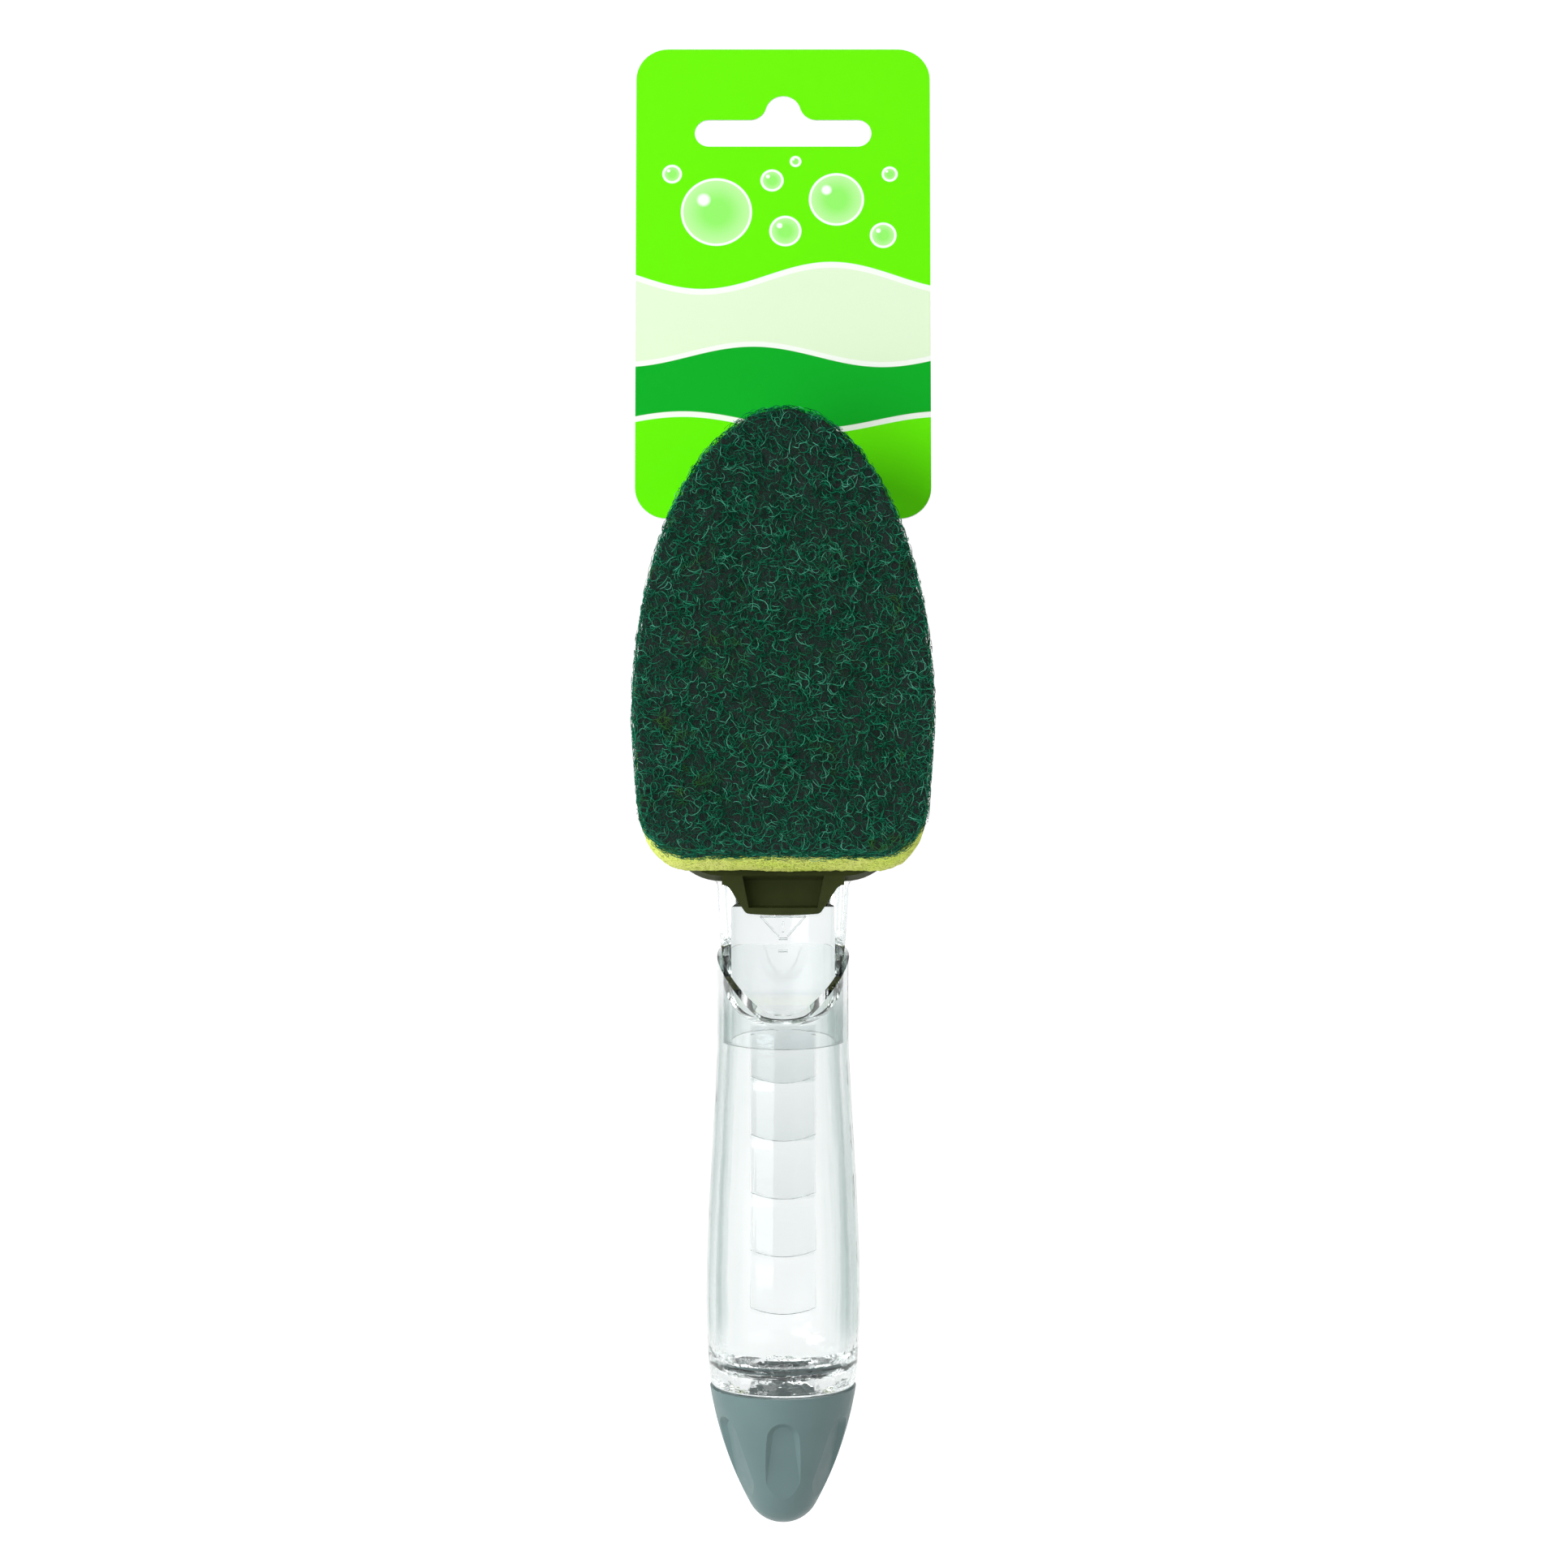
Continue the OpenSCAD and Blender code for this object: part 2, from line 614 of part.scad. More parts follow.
// Front outline (x, z) of the thumb tab: bowed foot, round corners and fillets to the base
module tab_outline() {
    foot_z = head_z - tab_h;
    corner_x = tab_foot_half_w - tab_corner_r;
    side_a = atan2(tab_h, tab_top_half_w - tab_foot_half_w);
    fillet_x = tab_top_half_w + tab_fillet_r * tan(side_a / 2);
    right = concat(
        [for (i = [0:4]) let (k = i / 4) [corner_x * k, foot_z - tab_bow * (1 - k * k)]],
        arc(corner_x, foot_z + tab_corner_r, tab_corner_r, -75, side_a - 90, 5),
        arc(fillet_x, head_z - tab_fillet_r, tab_fillet_r, 90 + side_a, 90, 6),
        [[fillet_x, head_z + tray_h]]
    );
    polygon(concat(right, [for (i = [len(right) - 1:-1:1]) [-right[i][0], right[i][1]]]));
}

// Thumb tab: a shallow trough that hangs from the base's heel in front of the neck
module thumb_tab() {
    foot_z = head_z - tab_h - 1;
    back_y = -(tab_h + 1) * tan(head_tilt);
    floor_y = -tray_wall / cos(head_tilt);
    difference() {
        intersection() {
            rotate([90, 0, 0]) linear_extrude(2 * far, center = true) tab_outline();
            side_prism() polygon([
                head_point(0, 0), head_point(tray_wall / 2, 0), head_point(tray_wall / 2, tray_h),
                head_point(0, tray_h), [-tab_front, foot_z], [back_y, foot_z]
            ]);
        }
        intersection() {
            rotate([90, 0, 0]) linear_extrude(far) polygon([
                [-tab_foot_half_w + tray_wall, head_z - tab_h + tray_wall],
                [tab_foot_half_w - tray_wall, head_z - tab_h + tray_wall],
                [tab_recess_half_w, head_z + tray_h], [-tab_recess_half_w, head_z + tray_h]
            ]);
            side_prism() polygon([
                head_point(0, tray_wall), head_point(0, far), [-far, foot_z],
                [back_y + floor_y, foot_z]
            ]);
        }
    }
}

// U-shaped channel behind the base: it holds the paddle's edges and toe, and has a slit for the card
module paddle_channel() {
    outer = slide_fit + channel_wall;
    difference() {
        union() {
            head_slab(-channel_y, eps) difference() {
                paddle_outline(outer, channel_s);
                paddle_outline(slide_fit, channel_s - 1);
            }
            head_slab(-channel_y, -lip_y) difference() {
                paddle_outline(outer, channel_s);
                paddle_outline(-channel_lip_w, channel_s - 1);
            }
        }
        head_slab(-card_t - card_gap, 0)
            translate([-tongue_half_w - card_gap, toe_s]) square([2 * (tongue_half_w + card_gap), far]);
    }
}

// Olive base of the refill: ribbed tray, soap port, paddle channel and thumb tab
module refill_base() {
    rib_step = (tray_l - tray_corner_r) / (rib_count + 1);
    color(olive_colour) hung() {
        difference() {
            union() {
                on_head() {
                    head_slab(0, tray_floor) tray_outline();
                    head_slab(0, tray_h) difference() {
                        tray_outline();
                        tray_outline(tray_wall);
                    }
                    head_slab(0, tray_h) intersection() {
                        tray_outline(tray_wall / 2);
                        union() {
                            for (i = [1:rib_count]) translate([-far, i * rib_step]) square([2 * far, rib_t]);
                            for (x = [-1, 1]) translate([x * tray_half_w / 2 - rib_t / 2, 0]) square([rib_t, 2 * far]);
                            translate([0, valve_s]) circle(port_r + rib_t, $fn = 64);
                        }
                    }
                    paddle_channel();
                }
                thumb_tab();
            }
            on_head() head_slab(-channel_y, far) translate([0, valve_s]) circle(port_r, $fn = 64);
        }
    }
}

// Sponge between the base and the scouring pad, drawn in towards the base
module sponge() {
    color(sponge_colour) hung() on_head() hull() {
        head_slab(tray_h, tray_h + eps) pad_outline(sponge_draw);
        head_slab(tray_h + sponge_t / 3, tray_h + sponge_t / 3 + eps) pad_outline(sponge_draw / 3);
        head_slab(pad_back - eps, pad_back) pad_outline();
    }
}

// Coarse scouring pad glued to the sponge
module scouring_pad() {
    color(pad_colour) hung() on_head() head_slab(pad_back, pad_front) pad_outline();
}

// Outline of the hang hole: a slot with a round top and flared corners
module hang_hole() {
    rounded_rect(slot_l, slot_s - slot_h / 2, slot_top_s, slot_h / 2 - eps / 10);
    translate([0, hang_s]) circle(hang_r, $fn = 64);
    difference() {
        translate([-flare_x, slot_top_s - eps]) square([2 * flare_x, flare_h + eps]);
        for (x = [-1, 1]) translate([x * flare_x, slot_top_s + hang_flare_r]) circle(hang_flare_r, $fn = 64);
    }
}

// Display card with its hang hole and the tongue that lies between the base and the paddle
module hang_card() {
    color(card_colour) hung() on_head() head_slab(-card_t, 0) difference() {
        union() {
            rounded_rect(card_w, card_s, card_top_s, card_corner_r);
            rounded_rect(2 * tongue_half_w, tongue_s, card_s + 2 * tongue_corner_r, tongue_corner_r);
        }
        hang_hole();
        translate([0, valve_s]) circle(pocket_r, $fn = 64);
    }
}

reservoir();
neck_paddle();
slit_valve();
valve_retainer();
cap();
cap_gasket();
refill_base();
sponge();
scouring_pad();
hang_card();
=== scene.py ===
"""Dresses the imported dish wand: clear handle, fluted cap, scouring head and display card.

Metres, in the model's own frame: the origin is the hang hole, the handle's axis is parallel to Z,
and the scouring face looks towards -Y. HEAD_UP, HEAD_FRONT and on_head() give the leaning head's
own directions: x across, s from heel to toe, t forwards from the base's back, in millimetres.
"""
import math

import bmesh
import bpy
import numpy as np
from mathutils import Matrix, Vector, noise


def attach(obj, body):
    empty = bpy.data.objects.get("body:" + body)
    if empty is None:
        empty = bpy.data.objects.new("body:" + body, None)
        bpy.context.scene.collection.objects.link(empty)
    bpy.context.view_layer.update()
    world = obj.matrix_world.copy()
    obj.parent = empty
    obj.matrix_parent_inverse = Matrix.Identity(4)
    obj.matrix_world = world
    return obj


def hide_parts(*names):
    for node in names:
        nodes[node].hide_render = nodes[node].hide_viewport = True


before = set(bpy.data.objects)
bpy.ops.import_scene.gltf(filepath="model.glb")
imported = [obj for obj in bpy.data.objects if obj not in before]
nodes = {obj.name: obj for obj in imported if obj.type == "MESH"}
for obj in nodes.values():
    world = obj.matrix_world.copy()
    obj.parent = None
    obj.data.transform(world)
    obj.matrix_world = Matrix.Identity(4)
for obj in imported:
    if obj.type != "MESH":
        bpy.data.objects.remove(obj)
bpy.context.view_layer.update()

MM = 0.001
AXIS_Y = -76.1077  # handle's axis and the cap's rim, as part.scad places them
RIM_Z = -276.4219
HEAD_Z = RIM_Z + 113.8  # where the head's plane crosses the handle's axis
MIDDLE = (0, AXIS_Y, RIM_Z + 140)  # point of the wand that the lamps aim at
TILT = math.radians(25)
FACE_LEAN = math.radians(12)
HEAD_UP = np.array([0, math.sin(TILT), math.cos(TILT)])
HEAD_FRONT = np.array([0, -math.cos(TILT), math.sin(TILT)])
HEAD_AT = np.array([0, AXIS_Y, HEAD_Z])

GRIP_Z = 19.5  # finger steps down the handle's front
GRIP_PITCH = 12.9
GRIP_STEPS = 5
GRIP_TOP = GRIP_Z + GRIP_STEPS * GRIP_PITCH
GRIP_W = 14.3

# Heights above the cap's rim between which the clear plastic's grey sets in or fades
FOOT_UP = (8, 15)
MOUTH_UP = (84, 90)
NECK_UP = (110, 114)

INNER_BOUNCES = 32  # light reflects many times inside clear plastic, and shows black where it is cut off
WORLD_LIGHT = 0.2  # strength of the world's light on the object
GLOW_EDGES = (1.2, 2.2)  # metres from the object between which the floor's lit level falls
GLOW_LEVELS = (0.49, 0.81)  # glow that makes the lit floor white near it and far from it
FLOOR_R = 6  # metres
FLOOR_DROP = 90  # millimetres from the cap's rim down to the floor

PAD_HALF_W = 33.0  # the pad's outline, as part.scad draws it
PAD_L = 102.0
PAD_WIDE_S = 31.0
PAD_CORNER_R = 11.3
HEEL_IN = 1.4
TRAY_H = 4.6  # fronts of the base, the sponge and the pad, from the base's back
SPONGE_FRONT = 18.5
PAD_FRONT = 26.0
HEAD_MIDDLE_S = 46.0

# Open pores and loose strands of the scouring pad; each radius is drawn between two
PORES = 700
PORE_R = (0.5, 1.25)
FACE_STRANDS = 10500
SIDE_STRANDS = 4200
STRAND_POINTS = 6
STRAND_R = (0.04, 0.075)
CURL_R = (0.7, 3.0)

CARD_LOW = 84  # ends of the card's panel, up the head from its heel
CARD_HIGH = 195
WHITE_EDGE = (0.95, 1.0, 0.93)  # thin line over each printed wave
WAVE_L = 58  # length of a printed wave
PRINT_EDGE = 0.08  # half the width over which a printed edge softens

rng = np.random.default_rng(7)


def on_head(x, s, t):
    """World points, in metres, of head coordinates in millimetres."""
    x, s, t = np.broadcast_arrays(np.asarray(x, float), s, t)
    p = HEAD_AT + s[..., None] * HEAD_UP + t[..., None] * HEAD_FRONT
    p[..., 0] += x
    return p * MM


# Camera and light


def aim_camera():
    """Long lens along +Y, looking down a little, framed as the photograph is."""
    elevation = math.radians(9.3)
    distance = 2500.0
    frame_width = 346.4
    aim_across = 0.2
    aim_up = 135.6  # above the cap's rim
    target = Vector((aim_across, AXIS_Y, RIM_Z + aim_up))
    back = Vector((0, -math.cos(elevation), math.sin(elevation)))
    data = bpy.data.cameras.new("camera")
    data.sensor_width = 36.0
    data.lens = 36.0 * distance / frame_width
    data.clip_end = 50
    camera = bpy.data.objects.new("camera", data)
    bpy.context.scene.collection.objects.link(camera)
    camera.location = (target + back * distance) * MM
    camera.rotation_euler = (-back).to_track_quat("-Z", "Y").to_euler()
    bpy.context.scene.camera = camera


def soft_light(name, place, size, power):
    """Square area light at place, in millimetres, aimed at the middle of the wand."""
    data = bpy.data.lights.new(name, "AREA")
    data.size = size * MM
    data.energy = power
    lamp = bpy.data.objects.new(name, data)
    bpy.context.scene.collection.objects.link(lamp)
    lamp.location = Vector(place) * MM
    to_middle = Vector(MIDDLE) * MM - lamp.location
    lamp.rotation_euler = to_middle.to_track_quat("-Z", "Y").to_euler()


# Materials


class Shader:
    """A node material with short calls for the nodes that this scene needs."""

    def __init__(self, name, **inputs):
        self.material = bpy.data.materials.new(name)
        self.material.use_nodes = True
        self.tree = self.material.node_tree
        self.bsdf = self.tree.nodes["Principled BSDF"]
        for key, value in inputs.items():
            self.bsdf.inputs[key.replace("_", " ")].default_value = value

    @classmethod
    def of_tree(cls, tree):
        """The same calls for a tree that isn't a material's."""
        shader = cls.__new__(cls)
        shader.tree = tree
        return shader

    def node(self, kind, *values, **settings):
        """New node of a kind, with its first sockets fed in order."""
        n = self.tree.nodes.new(kind)
        for key, value in settings.items():
            setattr(n, key, value)
        for socket, value in zip(n.inputs, values):
            self.feed(socket, value)
        return n

    def feed(self, socket, value):
        """Links an output to a socket, or sets a plain value on it."""
        if value is None:
            return
        if hasattr(value, "is_output"):
            self.tree.links.new(value, socket)
        else:
            socket.default_value = value

    def math(self, operation, *values):
        return self.node("ShaderNodeMath", *values, operation=operation).outputs[0]

    def plus(self, a, b):
        return self.math("ADD", a, b)

    def minus(self, a, b):
        return self.math("SUBTRACT", a, b)

    def times(self, a, b):
        return self.math("MULTIPLY", a, b)

    def length(self, a, b):
        """Length of the flat vector (a, b)."""
        return self.math("SQRT", self.plus(self.times(a, a), self.times(b, b)))

    def place(self, output="Object"):
        return self.node("ShaderNodeTexCoord").outputs[output]

    def along(self, direction, origin=(0, 0, 0)):
        """Distance in millimetres along a direction from an origin in metres, in the object's own frame."""
        moved = self.node("ShaderNodeVectorMath", self.place(), tuple(origin), operation="SUBTRACT")
        dot = self.node("ShaderNodeVectorMath", moved.outputs[0], tuple(direction), operation="DOT_PRODUCT")
        return self.times(dot.outputs["Value"], 1000.0)

    def noise(self, size, detail=2.0, rough=0.5, where=None):
        """Noise from 0 to 1 whose lumps are about size millimetres across."""
        n = self.node("ShaderNodeTexNoise")
        self.feed(n.inputs["Vector"], self.place() if where is None else where)
        n.inputs["Scale"].default_value = 1000.0 / size
        n.inputs["Detail"].default_value = detail
        n.inputs["Roughness"].default_value = rough
        return n.outputs[0]

    def cells(self, size, feature="F1", output="Distance", where=None):
        n = self.node("ShaderNodeTexVoronoi", feature=feature)
        self.feed(n.inputs["Vector"], self.place() if where is None else where)
        n.inputs["Scale"].default_value = 1000.0 / size
        return n.outputs[output]

    def ramp(self, value, *stops):
        """Colour ramp through (position, colour) stops."""
        n = self.node("ShaderNodeValToRGB")
        self.feed(n.inputs[0], value)
        elements = n.color_ramp.elements
        while len(elements) < len(stops):
            elements.new(0.5)
        for element, (at, colour) in zip(elements, stops):
            element.position = at
            element.color = (*colour, 1)
        return n.outputs[0]

    def span(self, value, low, high, to_low=0.0, to_high=1.0):
        """Value mapped from low..high to to_low..to_high, and clamped."""
        n = self.node("ShaderNodeMapRange")
        for socket, v in zip(n.inputs, (value, low, high, to_low, to_high)):
            self.feed(socket, v)
        return n.outputs[0]

    def mix(self, factor, a, b):
        n = self.node("ShaderNodeMix", data_type="RGBA")
        self.feed(n.inputs[0], factor)
        self.feed(n.inputs[6], a if hasattr(a, "is_output") else (*a, 1))
        self.feed(n.inputs[7], b if hasattr(b, "is_output") else (*b, 1))
        return n.outputs[2]

    def bump(self, height, distance, strength=1.0):
        """Bump of a height from 0 to 1 that stands for distance millimetres."""
        n = self.node("ShaderNodeBump")
        n.inputs["Strength"].default_value = strength
        n.inputs["Distance"].default_value = distance * MM
        self.feed(n.inputs["Height"], height)
        self.feed(self.bsdf.inputs["Normal"], n.outputs[0])

    def set(self, name, value):
        self.feed(self.bsdf.inputs[name], value)


def painted_grip_shade(s, up, across):
    """Painted shade on the finger steps: each is greyest at its lower edge, and the lower steps are the
    faintest.
    """
    forward = s.along((0, -1, 0), (0, AXIS_Y * MM, 0))
    step = s.math("FRACT", s.math("DIVIDE", s.minus(up, GRIP_Z), GRIP_PITCH))
    grey = s.times(s.span(step, 0.0, 1.0, 1.0, 0.4), s.span(up, GRIP_Z, GRIP_TOP, 0.2, 1.0))
    for inside in (
        s.span(s.math("ABSOLUTE", across), GRIP_W / 2, GRIP_W / 2 - 0.5),
        s.span(forward, 0.0, 0.5),
        s.span(up, GRIP_TOP, GRIP_TOP - 0.5),
        s.span(up, GRIP_Z - 0.2, GRIP_Z + 0.2),
    ):
        grey = s.times(grey, inside)
    return grey


def painted_edge_reflection(s, up, across):
    """Painted reflection of dark surroundings on the walls that turn away: grey-green bands over the
    plastic's own faint tint, broken up by flow lines that run up the handle.
    """
    plain_tint = (0.925, 0.941, 0.943)
    painted_flank_shade = (0.42, 0.52, 0.5)
    drawn = s.node("ShaderNodeVectorMath", s.place(), (1, 1, 0.03), operation="MULTIPLY").outputs[0]
    lines = s.minus(s.noise(2.4, 2.0, where=drawn), 0.5)
    flow = s.times(lines, s.span(across, -16, 16, 0.25, 0.7))
    facing = s.node("ShaderNodeLayerWeight").outputs["Facing"]
    turned = s.ramp(
        s.plus(facing, s.times(flow, s.span(facing, 0.1, 0.4))),
        (0.0, (0.932, 0.946, 0.947)), (0.14, (0.918, 0.935, 0.934)), (0.26, (0.83, 0.87, 0.86)),
        (0.36, (0.92, 0.94, 0.938)), (0.5, (0.64, 0.72, 0.705)), (0.72, (0.24, 0.34, 0.32)),
        (0.86, (0.7, 0.78, 0.77)), (1.0, (0.3, 0.4, 0.38)),
    )
    # Painted shade: the handle's right flank is drawn darker than its left, in streaks along the flow lines
    right_flank_shade = s.span(s.plus(across, s.times(flow, 8.0)), 5, 17)
    flank = s.times(right_flank_shade, s.span(facing, 0.15, 0.5))
    turned = s.mix(s.times(flank, 0.55), turned, painted_flank_shade)
    # Rays cross many turned walls at the foot and at the neck's rim, so the painted grey is kept low there
    above_foot = s.span(up, *FOOT_UP, 0.15, 1.0)
    off_mouth = s.math("MAXIMUM", s.span(up, *MOUTH_UP, 1.0, 0.3), s.span(up, *NECK_UP))
    return s.mix(s.times(above_foot, off_mouth), plain_tint, turned)


def clear_plastic():
    """Clear moulded plastic with flow waves and a rippled foot, painted shade on its finger steps and
    painted reflections at its turned edges.
    """
    s = Shader("clear_plastic", Transmission_Weight=1.0, IOR=1.5)
    up = s.along((0, 0, 1), (0, 0, RIM_Z * MM))
    across = s.along((1, 0, 0))
    # Base colour: painted shade on the finger steps, grey (0.6, 0.65, 0.65), over painted reflections on the
    # turned walls
    s.set("Base Color", s.mix(painted_grip_shade(s, up, across), painted_edge_reflection(s, up, across), (0.6, 0.65, 0.65)))

    waves = s.plus(s.noise(9, 1.0), s.times(s.noise(1.3, 2.0), 0.12))
    ripples = s.times(s.noise(2.6, 1.5), s.span(up, 13.0, 9.0, 0.0, 2.2))
    s.bump(s.plus(waves, ripples), 0.12, 0.6)
    s.set("Roughness", s.span(s.noise(14, 3.0), 0.45, 0.75, 0.015, 0.06))
    body = s.node("ShaderNodeVolumeAbsorption")
    body.inputs["Color"].default_value = (0.66, 0.74, 0.72, 1)
    body.inputs["Density"].default_value = 12
    s.tree.links.new(body.outputs[0], s.tree.nodes["Material Output"].inputs["Volume"])
    return s.material


def slate_plastic():
    """Satin grey-green plastic of the cap."""
    s = Shader("slate_plastic", Specular_IOR_Level=0.45)
    tone = s.span(s.noise(22, 3.0), 0.3, 0.7)
    s.set("Base Color", s.mix(tone, (0.115, 0.188, 0.19), (0.138, 0.22, 0.22)))
    s.set("Roughness", s.span(s.noise(3, 4.0), 0.3, 0.7, 0.36, 0.5))
    s.bump(s.noise(0.35, 3.0, 0.6), 0.02, 0.6)
    return s.material


def olive_plastic():
    """Dark olive plastic of the base and its tab."""
    s = Shader("olive_plastic", Specular_IOR_Level=0.12)
    tone = s.span(s.noise(15, 3.0), 0.3, 0.7)
    s.set("Base Color", s.mix(tone, (0.023, 0.031, 0.007), (0.036, 0.045, 0.013)))
    s.set("Roughness", s.span(s.noise(4, 4.0), 0.3, 0.7, 0.55, 0.7))
    s.bump(s.noise(0.4, 3.0, 0.6), 0.025, 0.6)
    return s.material


def white_silicone():
    """Soft white rubber of the valve and the gasket."""
    s = Shader("white_silicone", Subsurface_Weight=0.3, Roughness=0.5)
    s.bsdf.inputs["Subsurface Radius"].default_value = (0.002, 0.002, 0.0018)
    s.set("Base Color", s.mix(s.noise(2.5, 3.0), (0.72, 0.72, 0.69), (0.82, 0.82, 0.8)))
    s.bump(s.noise(0.3, 2.0), 0.02, 0.5)
    return s.material


def sponge_foam():
    """Yellow-green open foam: small round pores with painted shade inside them, and a few large ones."""
    s = Shader("sponge_foam", Roughness=0.9, Specular_IOR_Level=0.2, Subsurface_Weight=0.15)
    s.bsdf.inputs["Subsurface Radius"].default_value = (0.002, 0.002, 0.0006)
    small = s.cells(0.5)
    large = s.cells(1.8)
    pits = s.math("MINIMUM", s.span(small, 0.12, 0.42), s.span(large, 0.1, 0.3))
    tint = s.mix(s.span(s.noise(9, 2.0), 0.35, 0.65), (0.8, 0.99, 0.15), (0.9, 1.0, 0.24))
    # Painted shade: the foam is coloured darker inside its pores, as the pits mask goes to 0
    s.set("Base Color", s.mix(pits, (0.72, 0.86, 0.12), tint))
    s.bump(pits, 0.45)
    return s.material


def scouring_core():
    """What shows between the fibres: a dark web of resin in the pad's own dark green, with painted shade,
    near black, in the pores.
    """
    s = Shader("scouring_core", Roughness=0.7, Specular_IOR_Level=0.3)
    wander = s.node("ShaderNodeTexNoise")
    s.feed(wander.inputs["Vector"], s.place())
    wander.inputs["Scale"].default_value = 500
    shift = s.node("ShaderNodeVectorMath", wander.outputs[1], (0.0012, 0.0012, 0.0012), operation="MULTIPLY")
    bent = s.node("ShaderNodeVectorMath", s.place(), shift.outputs[0], operation="ADD").outputs[0]
    web = s.cells(1.1, "DISTANCE_TO_EDGE", where=bent)
    fine = s.cells(0.6, "DISTANCE_TO_EDGE", where=bent)
    resin = s.math("MAXIMUM", s.span(web, 0.1, 0.0), s.times(s.span(fine, 0.12, 0.0), 0.7))
    # Near black where resin is 0 is painted shade of the pad's depths; the web's dark green is the resin's
    # own colour
    s.set("Base Color", s.ramp(
        resin, (0.0, (0.0003, 0.003, 0.002)), (0.5, (0.001, 0.02, 0.012)), (1.0, (0.006, 0.08, 0.05)),
    ))
    s.bump(resin, 0.35)
    return s.material


def scouring_fibre():
    """Teal-green resin-coated fibre, each strand with its own tone, and olive patches by the edge."""
    s = Shader("scouring_fibre", Specular_IOR_Level=0.04)
    own = s.node("ShaderNodeNewGeometry").outputs["Random Per Island"]
    tone = s.ramp(
        own,
        (0.0, (0.001, 0.03, 0.015)), (0.5, (0.003, 0.128, 0.062)),
        (0.85, (0.016, 0.3, 0.155)), (1.0, (0.14, 0.55, 0.38)),
    )
    across = s.math("ABSOLUTE", s.along((1, 0, 0)))
    up = s.along(HEAD_UP, HEAD_AT * MM)
    rim = s.math("MAXIMUM", s.span(across, 22, PAD_HALF_W, 0.0, 0.22), s.span(up, 12, 0, 0.0, 0.22))
    tone = s.mix(rim, tone, (0.03, 0.26, 0.16))
    patch = s.times(s.span(s.noise(7, 2.0, 0.6), 0.6, 0.72), s.span(across, 6, 26, 0.3, 0.9))
    s.set("Base Color", s.mix(patch, tone, (0.05, 0.17, 0.025)))
    s.set("Roughness", s.span(own, 0.0, 1.0, 0.85, 0.6))
    return s.material


def printed_bubble(s, paint, across, up, x, at, r):
    """Paint with a pale round bubble over it, at (x, at) on the card, with a white rim and a glint."""
    dx = s.minus(across, x)
    dy = s.minus(up, at)
    off = s.length(dx, dy)
    inside = s.span(off, r + PRINT_EDGE, r - PRINT_EDGE)
    body = s.span(off, r * 0.35, r, 0.22, 0.6)
    paint = s.mix(s.times(inside, body), paint, (0.86, 1.0, 0.7))
    rim = s.times(inside, s.span(off, r - 0.62, r - 0.46))
    paint = s.mix(rim, paint, (0.97, 1.0, 0.95))
    glint = s.length(s.plus(dx, r * 0.36), s.minus(dy, r * 0.36))
    return s.mix(s.span(glint, r * 0.22, r * 0.12), paint, (1.0, 1.0, 1.0))


def printed_card():
    """Lime card printed with waves and bubbles, and a white core at its edges."""
    s = Shader("printed_card", Specular_IOR_Level=0.1)
    across = s.along((1, 0, 0))
    up = s.along(HEAD_UP, HEAD_AT * MM)
    lime = s.mix(s.span(up, CARD_LOW, CARD_HIGH), (0.135, 0.9, 0.001), (0.155, 0.93, 0.002))

    def below(level, swing, phase):
        """1 below a wavy edge at that level, in millimetres up the head."""
        turn = s.plus(s.times(across, 2 * math.pi / WAVE_L), phase)
        edge = s.plus(s.times(s.math("SINE", turn), swing), level)
        return s.span(s.minus(edge, up), -PRINT_EDGE, PRINT_EDGE)

    paint = lime
    for level, swing, phase, colour in (
        (141.0, 3.2, 0.4, WHITE_EDGE),
        (139.6, 3.2, 0.4, (0.78, 0.95, 0.68)),
        (123.0, 2.4, 2.3, WHITE_EDGE),
        (121.8, 2.4, 2.3, (0.003, 0.42, 0.02)),
        (107.0, 2.0, 4.0, WHITE_EDGE),
        (105.7, 2.0, 4.0, lime),
    ):
        paint = s.mix(below(level, swing, phase), paint, colour)
    for x, at, r in (
        (-15, 156, 8.0), (12, 159, 6.2), (0.5, 151.5, 3.6), (-2.5, 163.5, 2.6),
        (22.5, 150.5, 3.0), (-25, 165, 2.2), (24, 165, 1.8), (2.8, 168, 1.3),
    ):
        paint = printed_bubble(s, paint, across, up, x, at, r)
    facing = s.node("ShaderNodeVectorMath", s.place("Normal"), tuple(HEAD_FRONT), operation="DOT_PRODUCT")
    is_face = s.span(s.math("ABSOLUTE", facing.outputs["Value"]), 0.6, 0.8)
    s.set("Base Color", s.mix(is_face, (0.86, 0.86, 0.83), paint))
    s.set("Roughness", s.span(s.noise(6, 4.0), 0.3, 0.7, 0.3, 0.42))
    s.bump(s.noise(0.8, 4.0, 0.6), 0.02, 0.4)
    return s.material


def by_ray(shader, low, high):
    """Low for the light that falls on the object, high for camera, glossy and transmission rays alike."""
    path = shader.node("ShaderNodeLightPath").outputs
    mirrored = shader.math("MAXIMUM", path["Is Glossy Ray"], path["Is Transmission Ray"])
    seen = shader.math("MAXIMUM", path["Is Camera Ray"], mirrored)
    return shader.span(seen, 0.0, 1.0, low, high)


